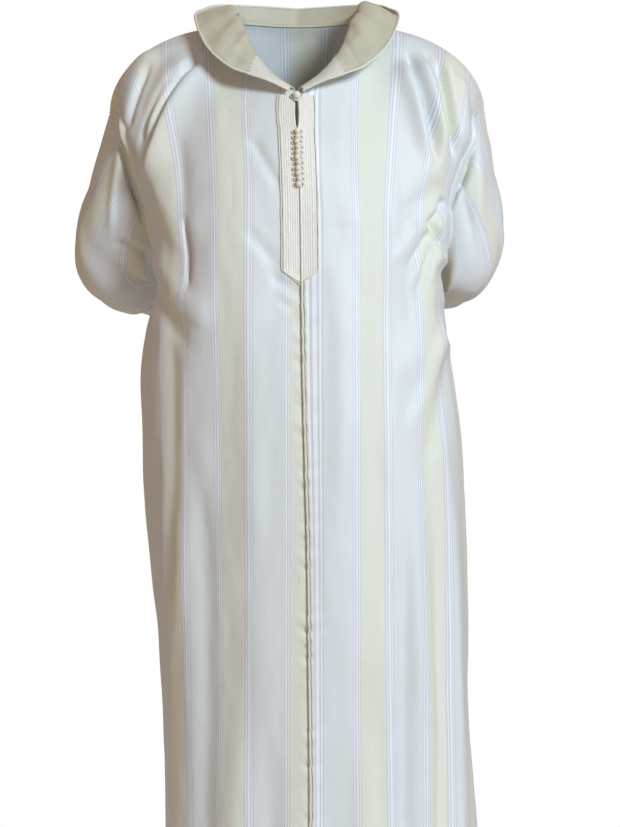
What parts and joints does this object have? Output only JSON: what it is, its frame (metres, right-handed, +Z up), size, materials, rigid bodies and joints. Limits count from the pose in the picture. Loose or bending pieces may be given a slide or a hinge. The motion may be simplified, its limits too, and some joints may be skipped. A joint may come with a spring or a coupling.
{
  "type": "hooded djellaba robe",
  "caption": "Long loose hooded robe in striped satin with a braided, knotted front placket and wide sleeves, shown as worn and hollow.",
  "frame": {"origin": "between the shoulders, on the vertical line through the middle of the neck opening and level with the tops of the shoulders at the neck", "axes": "+X towards the wearer's left, -Y towards the front, +Z up along the height of the robe"},
  "size_m": [0.6705, 0.4596, 1.4905],
  "materials": {
    "striped_satin": "woven satin with lengthwise stripes",
    "hood_satin": "cream satin",
    "silk_braid": "braided silk cord",
    "silk_knot": "tightly knotted silk cord"
  },
  "bodies": {
    "root": {"front_right_panel": "striped_satin", "front_left_panel": "striped_satin", "back_panel": "striped_satin", "sleeve_right": "striped_satin", "sleeve_left": "striped_satin", "hood": "hood_satin", "neck_facing_right": "hood_satin", "neck_facing_left": "hood_satin", "hood_edge_cord": "silk_braid", "placket_braid_right": "silk_braid", "placket_braid_left": "silk_braid", "centre_front_cord": "silk_braid", "knot_01": "silk_knot", "knot_02": "silk_knot", "knot_03": "silk_knot", "knot_04": "silk_knot", "knot_05": "silk_knot", "knot_06": "silk_knot", "knot_07": "silk_knot", "knot_08": "silk_knot", "knot_09": "silk_knot", "knot_10": "silk_knot", "knot_11": "silk_knot", "neck_knot": "silk_knot", "neck_loop": "silk_knot"}
  },
  "joints": []
}
